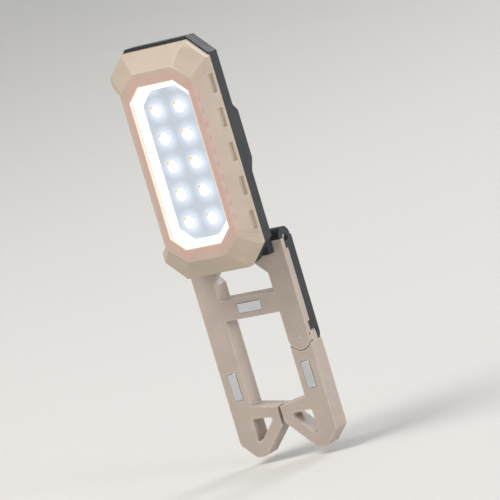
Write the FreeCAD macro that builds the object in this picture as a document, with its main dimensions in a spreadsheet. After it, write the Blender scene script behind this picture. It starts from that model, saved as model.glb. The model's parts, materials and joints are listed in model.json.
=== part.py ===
import FreeCAD, Part
import math
import os
import re

import Sketcher

# A pocket work light: a lamp head that folds on a flat handle, whose lower end is a sprung hook.
# Frame: +Z up along the light, -Y the way it shines, +X across it, towards the sprung gate's arm.
# Origin: the middle of the handle's crossbar, where a hand closes round the handle.
# Lengths are in millimetres. In the head's own frame, "forward" means towards -Y.

DIMENSIONS = {
    # Used throughout
    "over": (1.0, "how far a cut runs past the face it starts from"),
    "sink": (0.2, "how far a raised area starts below the surface"),
    "fit": (0.05, "running clearance"),
    "press": (0.02, "round a pressed pin or screw"),
    "slack": (0.1, "round a piece that drops in"),
    # Lamp head, measured from the centre of its outline on the joint between shell and cover
    "head_y": (-15.0, "joint plane of the head's shell and cover"),
    "head_z": (64.0, "height of the head's centre"),
    "head_half_w": (23.0, "half width of the head"),
    "head_half_l": (46.1, "half length of the head"),
    "head_cut_x": (8.1, "corner cut across"),
    "head_cut_z": (8.2, "corner cut along"),
    "bumper_depth": (3.0, "straight band round the two ends"),
    "bumper_z": (34.0, "where the band ends on the long side"),
    "bumper_face_z": (30.0, "where the band's slope meets the front face"),
    "face_depth": (8.0, "front face, forward of the joint"),
    "face_half_w": (16.65, "half width of the front face"),
    "face_half_l": (38.4, "half length of the front face"),
    "face_cut_x": (7.8, "front face corner cut across"),
    "face_cut_z": (6.0, "front face corner cut along"),
    "face_mid": (-0.4, "the front face's middle, along the head"),
    "shell_wall": (1.6, "front wall"),
    "shell_rim": (3.8, "rim at the joint"),
    "shell_side": (1.0, "inset of the cavity's front outline"),
    "notch_pitch": (13.9, "grip notches along each long side"),
    "notch_length": (7.5, "one grip notch"),
    "notch_inner": (21.0, "bottom of a notch, from the middle"),
    "notch_rim": (0.8, "shell left behind a notch, at the joint"),
    "notch_depth": (3.4, "front of a notch, forward of the joint"),
    # Window, lens, reflector and light source
    "window_half_w": (13.9, "half width of the window"),
    "window_half_l": (33.1, "half length of the window"),
    "window_cut_x": (5.6, "window corner cut across"),
    "window_cut_z": (5.4, "window corner cut along"),
    "window_mid": (-0.5, "the window's middle, along the head"),
    "flange": (1.2, "lens flange behind the window's edge"),
    "lens_gap": (0.15, "round the lens in the window"),
    "lens_back": (5.0, "back of the lens"),
    "lens_step": (6.0, "front of the lens flange"),
    "lens_front": (6.6, "front of the lens"),
    "board_face": (2.8, "front of the light board"),
    "board_thick": (1.2, "light board"),
    "board_inset": (0.6, "light board inside the window's edge"),
    "reflector_lip": (0.4, "reflector's mouth inside the window's edge"),
    "wall_slope": (2.2, "how far the reflector's walls lean in"),
    "led_size": (5.0, "light source package"),
    "led_height": (0.9, "package height"),
    "led_bowl_r": (2.2, "phosphor bowl"),
    "led_bowl_depth": (0.3, "bowl in the package"),
    "led_gap": (0.02, "round the phosphor in its bowl"),
    "led_column": (5.5, "column, from the middle"),
    "led_pitch": (11.4, "row pitch"),
    "led_mid": (-1.2, "middle row"),
    # Back cover
    "cover_gap": (0.3, "cover's outline inside the shell's"),
    "cover_depth": (6.6, "back of the cover"),
    "cover_lean": (0.35, "lean of the cover's sides"),
    "cover_rise": (1.3, "cover above the shell's top"),
    "cover_wall": (1.8, "cover wall"),
    "cover_rim": (3.5, "rim of the cover at the joint"),
    "hump_low": (-11.0, "raised housing, foot of its lower end"),
    "hump_high": (17.0, "foot of its upper end"),
    "hump_slope": (3.5, "lean of its upper end, and of the room's ends inside"),
    "hump_slope_low": (5.0, "lean of its lower end"),
    "hump_half_w": (22.3, "half width"),
    "hump_depth": (9.7, "back of the raised housing"),
    "hump_lean": (0.3, "lean of its sides"),
    "hump_wall": (1.0, "wall at the ends of the room inside"),
    "hump_room_w": (17.5, "half width of the room inside"),
    "boss_x": (15.6, "screw bosses across"),
    "boss_z": (35.6, "screw bosses along"),
    "boss_r": (2.4, "screw boss"),
    "screw_r": (1.0, "case screw shank"),
    "screw_head_r": (1.9, "case screw head"),
    "screw_head": (1.2, "case screw head height"),
    "screw_reach": (3.6, "case screw, forward of the joint"),
    "screw_end": (0.3, "hole past the screw's tip"),
    "screw_gap": (0.15, "round a case screw in the cover"),
    "screw_sink": (0.6, "case screw head below the cover's back"),
    "boss_back": (0.5, "screw boss below the cover's back"),
    "drive_half_w": (0.25, "cross drive, half width"),
    "drive_reach": (1.2, "cross drive, half length"),
    "drive_depth": (0.5, "cross drive"),
    "seal_inner": (2.5, "seal groove, inside the cover's outline"),
    "seal_width": (0.7, "seal"),
    "seal_depth": (0.7, "seal"),
    # Battery and electronics
    "cell_half_w": (14.5, "battery"),
    "cell_low": (-12.0, "battery, lower end"),
    "cell_high": (33.0, "battery, upper end"),
    "cell_front": (1.0, "battery, forward of the joint"),
    "cell_thick": (4.8, "battery"),
    "cell_round": (1.6, "battery's long edges"),
    "pad_thick": (0.7, "foam pad behind the battery"),
    "pad_inset_x": (2.0, "foam pad inside the battery's sides"),
    "pad_inset_z": (3.0, "foam pad inside the battery's ends"),
    "control_y": (4.7, "control board, behind the joint"),
    "control_half_w": (15.0, "control board"),
    "control_low": (-6.0, "control board, lower edge"),
    "control_high": (12.5, "control board, upper edge"),
    "pcb": (0.8, "thickness of the small boards"),
    "driver_x": (-12.5, "light driver chip, left side"),
    "driver_z": (-3.5, "light driver chip, lower side"),
    "driver_size": (4.0, "light driver chip"),
    "driver_tall": (1.0, "light driver chip"),
    "charger_x": (8.6, "charging chip, left side"),
    "charger_z": (-4.0, "charging chip, lower side"),
    "charger_size": (3.2, "charging chip"),
    "charger_tall": (0.9, "charging chip"),
    "inductor_x": (8.2, "inductor, left side"),
    "inductor_z": (2.4, "inductor, lower side"),
    "inductor_size": (4.2, "inductor"),
    "inductor_tall": (1.8, "inductor"),
    "button_z": (2.0, "middle of the power button"),
    "button_half_w": (6.2, "power button"),
    "button_half_l": (3.9, "power button"),
    "button_cut": (1.6, "power button corners"),
    "button_gap": (0.15, "round the button"),
    "button_stand": (0.5, "button proud of the housing, and its travel"),
    "button_flange": (0.9, "flange that keeps the button in"),
    "button_skirt": (0.8, "thickness of that flange"),
    "switch_half": (3.0, "tact switch"),
    "switch_top": (6.4, "top of the switch, behind the joint"),
    "plunger_r": (1.5, "switch plunger"),
    "plunger_stand": (0.6, "released plunger above the control board"),
    "pipe_r": (1.0, "light pipe"),
    "pipe_z": (9.8, "light pipe"),
    "pipe_gap": (0.4, "light pipe above the control board"),
    "collar_r": (1.6, "light pipe's collar"),
    "collar": (0.7, "light pipe's collar"),
    "usb_half_w": (4.45, "charging socket"),
    "usb_low_y": (1.4, "socket, front"),
    "usb_high_y": (4.6, "socket, back"),
    "usb_mouth": (-44.0, "mouth of the socket"),
    "usb_length": (7.3, "socket"),
    "usb_wall": (0.3, "socket's sheet metal"),
    "usb_back": (0.5, "closed back of the socket"),
    "usb_cut": (6.0, "cut for the socket's mouth, from the end of the head"),
    "tongue_half_w": (3.3, "socket's tongue, half width"),
    "tongue_thick": (0.7, "socket's tongue"),
    "tongue_in": (0.6, "socket's tongue behind its mouth"),
    "usb_board_half_w": (9.0, "socket's board"),
    "usb_board_in": (2.6, "socket's board behind the mouth"),
    "usb_board_l": (13.0, "socket's board"),
    "flap_half_w": (6.8, "socket cover"),
    "flap_low_y": (0.5, "socket cover, front edge"),
    "flap_high_y": (5.6, "socket cover, back edge"),
    "flap_out": (-45.3, "outer face of the socket cover"),
    "flap_thick": (0.9, "socket cover"),
    "flap_gap": (0.15, "round the socket cover"),
    "lip_half_w": (1.5, "finger lip on the socket cover, half width"),
    "lip_thick": (0.6, "finger lip"),
    "lip_out": (0.3, "finger lip proud of the socket cover"),
    "lip_in": (0.3, "finger lip inside the cover's back edge"),
    # Hinge between head and handle
    "hinge_z": (24.0, "hinge axis height"),
    "hinge_pin_r": (1.5, "hinge pin"),
    "hinge_reach": (22.0, "hinge pin, half length"),
    "ear_inner": (8.0, "hinge ear, inner face"),
    "ear_outer": (13.0, "hinge ear, outer face"),
    "ear_r": (3.9, "hinge ear"),
    "ear_gap": (0.4, "beside an ear, for the washers"),
    "ear_room": (0.5, "below an ear"),
    "barrel_inset": (0.5, "hinge barrel inside the handle's sides"),
    "washer_thick": (0.3, "friction washer"),
    "washer_r": (3.5, "friction washer"),
    "saddle_half_w": (19.0, "saddle under the ears"),
    "saddle_low": (-44.4, "saddle"),
    "saddle_high": (-33.0, "saddle"),
    "saddle_depth": (10.2, "saddle"),
    # Handle
    "handle_half_w": (23.0, "half width of the handle"),
    "handle_half_t": (4.25, "half thickness of the handle"),
    "arm_inner": (13.0, "inner face of an arm"),
    "bar_half": (4.25, "half height of the crossbar"),
    "bridge_low": (16.7, "under the bridge below the hinge"),
    "bridge_cut": (5.0, "corners under the bridge"),
    "plate": (2.2, "front plate of the handle"),
    "rim": (1.6, "walls that the frame puts round its openings, behind the plate"),
    "rim_end": (-10.4, "lower end of the rim on the gate's arm"),
    "side_x": (20.8, "inner face of the frame's outer walls, behind the plate"),
    "side_deep": (1.4, "outer walls, behind the plate"),
    "side_high": (19.6, "top of the outer walls, under the hinge barrel"),
    "flare_x": (15.6, "upper opening behind the plate, flared top"),
    "flare_low": (10.4, "where the flare starts"),
    "flare_high": (13.6, "where the flare ends"),
    "yoke_low": (-15.0, "lower end of the yoke, on the fixed arm"),
    # Hooks at the handle's lower end
    "hook_root": (-39.8, "top of a hook at its arm"),
    "hook_top": (-41.7, "top of a hook at the middle"),
    "notch_top": (-48.2, "top of the notch between the hooks"),
    "foot_z": (-60.6, "bottom of a hook"),
    "foot_inner": (12.5, "bottom of a hook, inner end"),
    "foot_outer": (16.9, "bottom of a hook, outer end"),
    "foot_side": (-54.5, "where the bottom's corner meets the side"),
    "foot_round": (1.8, "rounding of the bottom's corners"),
    "hole_tip_x": (3.9, "triangular hole, tip"),
    "hole_tip_z": (-45.4, "triangular hole, tip"),
    "hole_side_x": (14.4, "triangular hole, upright side"),
    "hole_top_z": (-44.9, "triangular hole, top"),
    "hole_low_z": (-56.2, "triangular hole, bottom"),
    "hole_round": (0.9, "triangular hole corners"),
    "lap_fixed": (-1.2, "front edge of the fixed hook"),
    "lap_tongue": (1.5, "tongue of the fixed hook, behind the gate's nose"),
    "lap_nose": (0.2, "front edge of the gate's nose"),
    "lap_back": (1.9, "back of the gate's nose"),
    "lap_gap": (0.2, "between nose and tongue"),
    # Gate
    "pin_x": (18.0, "gate pivot"),
    "pin_z": (-15.9, "gate pivot"),
    "pin_r": (1.2, "gate pin"),
    "pin_reach": (4.1, "gate pin, half length"),
    "cheek_r": (5.0, "round end of the cheeks"),
    "side_hole_r": (0.6, "hole in the side, beside the gate pin"),
    "side_hole_y": (-3.15, "side hole"),
    "side_hole_z": (-15.2, "side hole"),
    "side_hole_deep": (1.5, "side hole"),
    "seat_r": (5.3, "seat round the cheeks"),
    "tongue_r": (4.75, "gate tongue"),
    "tongue_half": (1.9, "gate tongue, half thickness"),
    "slot_half": (2.05, "slot for the tongue, half width"),
    "horn_z": (-18.6, "top of the gate's shoulders"),
    "neck_z": (-23.0, "foot of the tongue"),
    "spring_room_r": (3.4, "spring pocket in the tongue"),
    "spring_room": (2.0, "spring pocket, deep"),
    "spring_r": (2.5, "gate spring"),
    "spring_wire": (0.22, "gate spring wire radius"),
    "spring_pitch": (0.4, "gate spring"),
    # Magnets and handle screws
    "magnet_l": (11.0, "magnet"),
    "magnet_w": (4.0, "magnet"),
    "magnet_t": (1.8, "magnet"),
    "magnet_proud": (0.15, "magnet above the handle's face"),
    "magnet_gap": (0.15, "round a magnet"),
    "magnet_x": (17.6, "arm magnets across"),
    "magnet_z": (-31.0, "arm magnets"),
    "tie_x": (18.4, "handle screws"),
    "tie_high": (8.6, "upper handle screws"),
    "tie_low": (-1.0, "lower handle screws"),
    "tie_r": (0.9, "handle screw shank"),
    "tie_head_r": (1.8, "handle screw head"),
    "tie_head": (1.2, "handle screw head height"),
    "tie_tip": (3.3, "handle screw, forward of the middle"),
    "tie_sink": (0.3, "handle screw head below the handle's back"),
    "tie_drive_half_w": (0.22, "cross drive, half width"),
    "tie_drive_reach": (1.1, "cross drive, half length"),
}

doc = FreeCAD.newDocument("work_light")
sheet = doc.addObject("Spreadsheet::Sheet", "Dims")
for row, (alias, (value, note)) in enumerate(DIMENSIONS.items(), 1):
    sheet.set(f"A{row}", note)
    sheet.set(f"B{row}", str(value))
    sheet.setAlias(f"B{row}", alias)
doc.recompute()

HEAD = ("0", "head_y", "head_z")
HANDLE = ("0", "0", "0")


def dim(alias):
    return float(sheet.get(alias))


def cells(expression):
    """The expression with every dimension's name pointing at its cell."""
    def point(match):
        word = match.group()
        return "Dims." + word if word in DIMENSIONS else word
    return re.sub(r"[a-z_]+", point, expression)


def bind(thing, field, expression):
    thing.setExpression(field, cells(expression))


# ---- PartDesign helpers -------------------------------------------------------------------------

def new_body(label, place):
    body = doc.addObject("PartDesign::Body", label)
    for axis, expression in zip("xyz", place):
        bind(body, "Placement.Base." + axis, expression)
    return body


def new_sketch(body, depth="0", role="XZ_Plane"):
    """A sketch on a plane of the body. On XZ, depth is forward, towards -Y; on YZ it is +X."""
    sketch = body.newObject("Sketcher::SketchObject", "outline")
    plane = next(f for f in body.Origin.OriginFeatures if f.Role == role)
    sketch.AttachmentSupport = (plane, [""])
    sketch.MapMode = "FlatFace"
    bind(sketch, "AttachmentOffset.Base.z", depth)
    return sketch


START_POINT = 1
CENTRE_POINT = 3


def place_point(sketch, edge, point, across, up):
    """Ties a point of a sketched edge to its place across and up from the origin."""
    for kind, expression in (("DistanceX", across), ("DistanceY", up)):
        index = sketch.addConstraint(Sketcher.Constraint(kind, -1, 1, edge, point, 1.0))
        bind(sketch, f"Constraints[{index}]", expression)


def add_polygon(sketch, points):
    first = sketch.GeometryCount
    count = len(points)
    turns = [2 * math.pi * i / count for i in range(count)]
    start = [FreeCAD.Vector(math.cos(turn), math.sin(turn), 0) for turn in turns]
    for i in range(count):
        sketch.addGeometry(Part.LineSegment(start[i], start[(i + 1) % count]), False)
    for i in range(count):
        sketch.addConstraint(Sketcher.Constraint("Coincident", first + i, 2, first + (i + 1) % count, 1))
    for i, (across, up) in enumerate(points):
        place_point(sketch, first + i, START_POINT, across, up)


def polygon(body, points, depth="0", role="XZ_Plane"):
    sketch = new_sketch(body, depth, role)
    add_polygon(sketch, points)
    return sketch


def circles(body, centres, radius, depth="0", role="XZ_Plane"):
    sketch = new_sketch(body, depth, role)
    for across, up in centres:
        edge = sketch.addGeometry(Part.Circle(FreeCAD.Vector(1, 1, 0), FreeCAD.Vector(0, 0, 1), 1), False)
        place_point(sketch, edge, CENTRE_POINT, across, up)
        index = sketch.addConstraint(Sketcher.Constraint("Radius", edge, 1.0))
        bind(sketch, f"Constraints[{index}]", radius)
    return sketch


def octagon(half_w, half_l, cut_x, cut_z, mid="0"):
    """The eight corners of a rectangle with cut corners, as expressions."""
    wide, long = f"({half_w})", f"({half_l})"
    short, low = f"({half_w} - {cut_x})", f"({half_l} - {cut_z})"
    quarter = [(wide, low), (short, long)]
    right_top = [(x, f"{mid} + {z}") for x, z in quarter]
    left_top = [("-" + x, f"{mid} + {z}") for x, z in reversed(quarter)]
    left_low = [("-" + x, f"{mid} - {z}") for x, z in quarter]
    right_low = [(x, f"{mid} - {z}") for x, z in reversed(quarter)]
    return right_top + left_top + left_low + right_low


def rectangle(left, right, low, high):
    return [(left, low), (right, low), (right, high), (left, high)]


def mirrored(points):
    return [(f"-({x})", z) for x, z in points]


LEAST_CUT = 1e-6  # mm3


def extrude(kind, sketch, length, backward=False):
    body = sketch.getParentGeoFeatureGroup()
    feature = body.newObject("PartDesign::" + kind, kind.lower())
    feature.Profile = sketch
    bind(feature, "Length", length)
    feature.Reversed = backward
    doc.recompute()
    return feature


def pad(sketch, length, backward=False):
    """Adds material forward of the sketch, or backward."""
    return extrude("Pad", sketch, length, backward)


def pocket(sketch, length, backward=False):
    """Removes material forward of the sketch, or backward, and checks that some was there."""
    before = sketch.getParentGeoFeatureGroup().Shape.Volume
    feature = extrude("Pocket", sketch, length, not backward)
    if feature.Shape.Volume > before - LEAST_CUT:
        raise RuntimeError(f"{feature.Name} in {sketch.getParentGeoFeatureGroup().Label} removes nothing")
    return feature


def loft(kind, first, last):
    body = first.getParentGeoFeatureGroup()
    feature = body.newObject(f"PartDesign::{kind}Loft", kind.lower() + "_loft")
    feature.Profile = first
    feature.Sections = [last]
    feature.Ruled = True
    doc.recompute()
    return feature


EDGE_NEAR = 0.35  # mm, how near an edge runs to the place that names it
PARALLEL = 0.999


def edges_along(shape, direction, places):
    """Names of the straight edges that run along a direction through the given points."""
    names = []
    for number, edge in enumerate(shape.Edges, 1):
        if edge.Curve.TypeId != "Part::GeomLine":
            continue
        run = (edge.Vertexes[-1].Point - edge.Vertexes[0].Point).normalize()
        if abs(run.dot(direction)) < PARALLEL:
            continue
        for place in places:
            offset = place - edge.Vertexes[0].Point
            if (offset - direction * offset.dot(direction)).Length < EDGE_NEAR:
                names.append(f"Edge{number}")
                break
    return names


def round_edges(body, places, radius):
    """Rounds the body's edges that run front to back through the given (x, z) places."""
    points = [FreeCAD.Vector(x, 0, z) for x, z in places]
    base = body.Tip
    names = edges_along(base.Shape, FreeCAD.Vector(0, 1, 0), points)
    if not names:
        raise RuntimeError(f"no edges to round on {body.Label}")
    fillet = body.newObject("PartDesign::Fillet", "rounding")
    fillet.Base = (base, names)
    bind(fillet, "Radius", radius)
    doc.recompute()
    return fillet


# ---- Part helpers -------------------------------------------------------------------------------

def box(low, size):
    """A box with its lowest corner and its size given as expressions, in the row's frame."""
    block = doc.addObject("Part::Box", "block")
    for axis, expression in zip("xyz", low):
        bind(block, "Placement.Base." + axis, expression)
    for field, expression in zip(("Length", "Width", "Height"), size):
        bind(block, field, expression)
    return block


def rod(start, radius, length, direction):
    """A cylinder from its start along an axis, in the row's frame."""
    cylinder = doc.addObject("Part::Cylinder", "rod")
    turns = {"x": FreeCAD.Rotation(FreeCAD.Vector(0, 1, 0), 90),
             "y": FreeCAD.Rotation(FreeCAD.Vector(1, 0, 0), -90)}
    cylinder.Placement = FreeCAD.Placement(FreeCAD.Vector(), turns[direction])
    for axis, expression in zip("xyz", start):
        bind(cylinder, "Placement.Base." + axis, expression)
    bind(cylinder, "Radius", radius)
    bind(cylinder, "Height", length)
    return cylinder


def combine(kind, label, *pieces):
    if kind == "Cut":
        result = doc.addObject("Part::Cut", label)
        result.Base, result.Tool = pieces
    elif kind == "Fuse":
        result = doc.addObject("Part::MultiFuse", label)
        result.Shapes = list(pieces)
    else:
        result = doc.addObject("Part::Compound", label)
        result.Links = list(pieces)
    doc.recompute()
    return result


def head_place(across, back, up):
    """A place given in the head's frame, as expressions in the row's frame."""
    return (across, f"head_y + ({back})", f"head_z + ({up})")


# ---- Lamp head: shell and optics ----------------------------------------------------------------

HEAD_OUTLINE = octagon("head_half_w", "head_half_l", "head_cut_x", "head_cut_z")
FACE_OUTLINE = octagon("face_half_w", "face_half_l", "face_cut_x", "face_cut_z", "face_mid")
SCREW_PLACES = [(f"{sx} * boss_x", f"{sz} * boss_z") for sx in (1, -1) for sz in (1, -1)]


def window(grow):
    return octagon(f"window_half_w + {grow}", f"window_half_l + {grow}", "window_cut_x", "window_cut_z",
                   "window_mid")


def end_band(half_w, straight, half_l, cut_x, cut_z, mid, side):
    """The outline of one end of the head: three edges round the end, closed across the head."""
    corners = [(half_w, straight), (half_w, f"{half_l} - {cut_z}"), (f"{half_w} - {cut_x}", half_l)]
    right = [(x, f"{mid} + {side} * ({z})") for x, z in corners]
    left = [(f"-({x})", z) for x, z in reversed(right)]
    return right + left


def make_front_shell():
    body = new_body("front_shell", HEAD)
    loft("Additive", polygon(body, HEAD_OUTLINE), polygon(body, FACE_OUTLINE, "face_depth"))
    for side in ("1", "-1"):
        band = end_band("head_half_w", "bumper_z", "head_half_l", "head_cut_x", "head_cut_z", "0", side)
        rim = end_band("face_half_w", "bumper_face_z", "face_half_l", "face_cut_x", "face_cut_z",
                       "face_mid", side)
        pad(polygon(body, band), "bumper_depth")
        loft("Additive", polygon(body, band, "bumper_depth"), polygon(body, rim, "face_depth"))
    inside = octagon("head_half_w - shell_rim", "head_half_l - shell_rim", "head_cut_x", "head_cut_z")
    front = octagon("face_half_w - shell_side", "face_half_l - shell_side", "face_cut_x", "face_cut_z",
                    "face_mid")
    loft("Subtractive", polygon(body, inside), polygon(body, front, "face_depth - shell_wall"))
    pocket(polygon(body, window("0")), "face_depth + over")
    pad(circles(body, SCREW_PLACES, "boss_r"), "screw_reach + over")
    pocket(circles(body, SCREW_PLACES, "screw_r + fit"), "screw_reach + screw_end")
    notches = new_sketch(body, "notch_rim")
    low = "face_mid - notch_length / 2 - 2 * notch_pitch"
    high = "face_mid + notch_length / 2 - 2 * notch_pitch"
    right = rectangle("notch_inner", "head_half_w + over", low, high)
    add_polygon(notches, right)
    add_polygon(notches, mirrored(right))
    first = pocket(notches, "notch_depth - notch_rim")
    row = body.newObject("PartDesign::LinearPattern", "notch_row")
    row.Originals = [first]
    row.Direction = (notches, ["V_Axis"])
    bind(row, "Length", "4 * notch_pitch")
    row.Occurrences = 5
    body.Tip = row
    doc.recompute()
    return body


def make_ring(label, outer, inner, start, length):
    body = new_body(label, HEAD)
    pad(polygon(body, outer, start), length)
    pocket(polygon(body, inner, f"{start} - over"), f"{length} + 2 * over")
    return body


def make_lens():
    body = new_body("lens", HEAD)
    pad(polygon(body, window("flange"), "lens_back"), "lens_step - lens_back")
    pad(polygon(body, window("-lens_gap"), "lens_step"), "lens_front - lens_step")
    return body


def make_reflector():
    body = new_body("reflector", HEAD)
    pad(polygon(body, window("flange"), "board_face"), "lens_back - board_face")
    loft("Subtractive", polygon(body, window("-wall_slope - reflector_lip"), "board_face"),
         polygon(body, window("-reflector_lip"), "lens_back"))
    return body


def make_plate(label, outline, start, length):
    body = new_body(label, HEAD)
    pad(polygon(body, outline, start), length)
    return body


def led_places():
    return [(f"{side} * led_column", f"led_mid + {row} * led_pitch")
            for row in (2, 1, 0, -1, -2) for side in (-1, 1)]


def make_leds():
    packages = []
    bowls = []
    front = "-board_face - led_height"
    for across, up in led_places():
        block = box(head_place(f"{across} - led_size / 2", front, f"{up} - led_size / 2"),
                    ("led_size", "led_height", "led_size"))
        well = rod(head_place(across, front, up), "led_bowl_r", "led_bowl_depth", "y")
        packages.append(combine("Cut", "package", block, well))
        bowls.append(rod(head_place(across, f"{front} + led_gap", up), "led_bowl_r - led_gap",
                         "led_bowl_depth - 2 * led_gap", "y"))
    return combine("Compound", "led_packages", *packages), combine("Compound", "led_phosphors", *bowls)


# ---- Lamp head: back cover and what it carries --------------------------------------------------

def cover_outline(inset):
    return octagon(f"head_half_w - cover_gap - ({inset})", f"head_half_l - cover_gap - ({inset})",
                   "head_cut_x", "head_cut_z")


def cover_sides(inset):
    """The cover's outside, which stands above the shell at the top."""
    return octagon(f"head_half_w - cover_gap - ({inset})",
                   f"head_half_l - (cover_gap - cover_rise) / 2 - ({inset})", "head_cut_x", "head_cut_z",
                   "(cover_gap + cover_rise) / 2")


def make_back_cover():
    body = new_body("back_cover", HEAD)
    loft("Additive", polygon(body, cover_sides("0")),
         polygon(body, cover_sides("cover_lean"), "-cover_depth"))
    foot = rectangle("-hump_half_w", "hump_half_w", "hump_low", "hump_high")
    top = rectangle("-hump_half_w + hump_lean", "hump_half_w - hump_lean", "hump_low + hump_slope_low",
                    "hump_high - hump_slope")
    loft("Additive", polygon(body, foot, "-cover_depth + sink"), polygon(body, top, "-hump_depth"))
    add_hinge_ears(body)
    # The room for battery and boards, and the taller room under the raised housing
    loft("Subtractive", polygon(body, cover_outline("cover_rim")),
         polygon(body, cover_outline("cover_rim"), "-cover_depth + cover_wall"))
    room = rectangle("-hump_room_w", "hump_room_w", "hump_low + hump_slope + hump_wall",
                     "hump_high - hump_slope - hump_wall")
    pocket(polygon(body, room), "hump_depth - cover_wall", backward=True)
    cut_screw_holes(body)
    cut_controls(body)
    groove = new_sketch(body)
    add_polygon(groove, cover_outline("seal_inner - fit"))
    add_polygon(groove, cover_outline("seal_inner + seal_width + fit"))
    pocket(groove, "seal_depth", backward=True)
    return body


def add_hinge_ears(body):
    """A saddle with two ears that carry the hinge pin. On the YZ plane, across is back and up is up."""
    saddle = rectangle("-saddle_half_w", "saddle_half_w", "saddle_low", "saddle_high")
    pad(polygon(body, saddle, "-cover_depth + sink"), "saddle_depth - cover_depth + sink", backward=True)
    axis = [("-head_y", "hinge_z - head_z")]
    neck = rectangle("saddle_depth - sink", "-head_y", "hinge_z - head_z - ear_r", "hinge_z - head_z + ear_r")
    for start in ("ear_inner", "-ear_outer"):
        pad(polygon(body, neck, start, "YZ_Plane"), "ear_outer - ear_inner")
        pad(circles(body, axis, "ear_r", start, "YZ_Plane"), "ear_outer - ear_inner")
    pocket(circles(body, axis, "hinge_pin_r + fit", "-hinge_reach", "YZ_Plane"), "2 * hinge_reach")


def cut_screw_holes(body):
    pad(circles(body, SCREW_PLACES, "boss_r"), "cover_depth - boss_back", backward=True)
    pocket(circles(body, SCREW_PLACES, "screw_r + screw_gap", "over"), "cover_depth + 2 * over",
           backward=True)
    pocket(circles(body, SCREW_PLACES, "screw_head_r + screw_gap", "-cover_depth - over"),
           "screw_head + screw_sink + over")


def cut_controls(body):
    """Openings for the power button, the light pipe and the charging socket with its cover."""
    hole = octagon("button_half_w + button_gap", "button_half_l + button_gap", "button_cut", "button_cut",
                   "button_z")
    wall = "hump_depth - cover_depth + over"
    pocket(polygon(body, hole, "-cover_depth"), wall, backward=True)
    pocket(circles(body, [("0", "pipe_z")], "pipe_r + fit", "-cover_depth"), wall, backward=True)
    mouth = rectangle("-usb_half_w - slack", "usb_half_w + slack", "-head_half_l - over",
                      "-head_half_l + usb_cut")
    pocket(polygon(body, mouth, "-usb_low_y + slack"), "usb_high_y - usb_low_y + 2 * slack", backward=True)
    recess = rectangle("-flap_half_w - flap_gap", "flap_half_w + flap_gap", "-head_half_l - over",
                       "flap_out + flap_thick + slack")
    pocket(polygon(body, recess, "-flap_low_y + flap_gap"), "flap_high_y - flap_low_y + 2 * flap_gap",
           backward=True)


def make_screws(label, blanks, seat, head_height, half_w, reach):
    """Screws with a cross drive: each blank is its shank, its head and its place."""
    screws = []
    for shank, head, (across, up), place in blanks:
        top = f"{seat} + {head_height} - drive_depth"
        upright = box(place(f"{across} - {half_w}", top, f"{up} - {reach}"),
                      (f"2 * {half_w}", "drive_depth + over", f"2 * {reach}"))
        level = box(place(f"{across} - {reach}", top, f"{up} - {half_w}"),
                    (f"2 * {reach}", "drive_depth + over", f"2 * {half_w}"))
        blank = combine("Fuse", "blank", shank, head)
        screws.append(combine("Cut", "screw", blank, combine("Fuse", "drive", upright, level)))
    return combine("Compound", label, *screws)


def make_case_screws():
    seat = "cover_depth - screw_head - screw_sink"
    blanks = []
    for across, up in SCREW_PLACES:
        shank = rod(head_place(across, "-screw_reach", up), "screw_r", f"{seat} + screw_reach", "y")
        head = rod(head_place(across, seat, up), "screw_head_r", "screw_head", "y")
        blanks.append((shank, head, (across, up), head_place))
    return make_screws("case_screws", blanks, seat, "screw_head", "drive_half_w", "drive_reach")


def make_battery():
    size = ("2 * cell_half_w", "cell_thick", "cell_high - cell_low")
    block = box(head_place("-cell_half_w", "-cell_front", "cell_low"), size)
    doc.recompute()
    front = dim("head_y") - dim("cell_front")
    corners = [FreeCAD.Vector(side * dim("cell_half_w"), y, 0)
               for side in (-1, 1) for y in (front, front + dim("cell_thick"))]
    radius = dim("cell_round")
    cell = doc.addObject("Part::Fillet", "battery_cell")
    cell.Base = block
    cell.Edges = [(int(name.removeprefix("Edge")), radius, radius)
                  for name in edges_along(block.Shape, FreeCAD.Vector(0, 0, 1), corners)]
    pad_low = head_place("-cell_half_w + pad_inset_x", "cell_thick - cell_front", "cell_low + pad_inset_z")
    pad_block = box(pad_low, ("2 * (cell_half_w - pad_inset_x)", "pad_thick",
                              "cell_high - cell_low - 2 * pad_inset_z"))
    pad_block.Label = "battery_pad"
    doc.recompute()
    return cell, pad_block


BOARD_BACK = "(control_y + pcb)"
BUTTON_FOOT = "(hump_depth - cover_wall - slack - button_skirt)"


def make_control_board():
    board = box(head_place("-control_half_w", "control_y", "control_low"),
                ("2 * control_half_w", "pcb", "control_high - control_low"))
    chips = [box(head_place(f"{chip}_x", BOARD_BACK, f"{chip}_z"),
                 (f"{chip}_size", f"{chip}_tall", f"{chip}_size"))
             for chip in ("driver", "charger", "inductor")]
    return combine("Fuse", "control_board", board, *chips)


def make_switch():
    can = box(head_place("-switch_half", BOARD_BACK, "button_z - switch_half"),
              ("2 * switch_half", f"switch_top - {BOARD_BACK}", "2 * switch_half"))
    well = rod(head_place("0", f"{BOARD_BACK} + fit", "button_z"), "plunger_r + fit", "switch_top", "y")
    switch = combine("Cut", "tact_switch", can, well)
    plunger = rod(head_place("0", f"{BOARD_BACK} + plunger_stand", "button_z"), "plunger_r",
                  f"{BUTTON_FOOT} - {BOARD_BACK} - plunger_stand", "y")
    plunger.Label = "switch_plunger"
    return switch, plunger


def make_power_button():
    body = new_body("power_button", HEAD)
    cap = octagon("button_half_w", "button_half_l", "button_cut", "button_cut", "button_z")
    skirt = octagon("button_half_w + button_flange", "button_half_l + button_flange", "button_cut",
                    "button_cut", "button_z")
    pad(polygon(body, skirt, f"-{BUTTON_FOOT}"), "button_skirt", backward=True)
    pad(polygon(body, cap, f"-{BUTTON_FOOT}"), f"hump_depth + button_stand - {BUTTON_FOOT}", backward=True)
    return body


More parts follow.
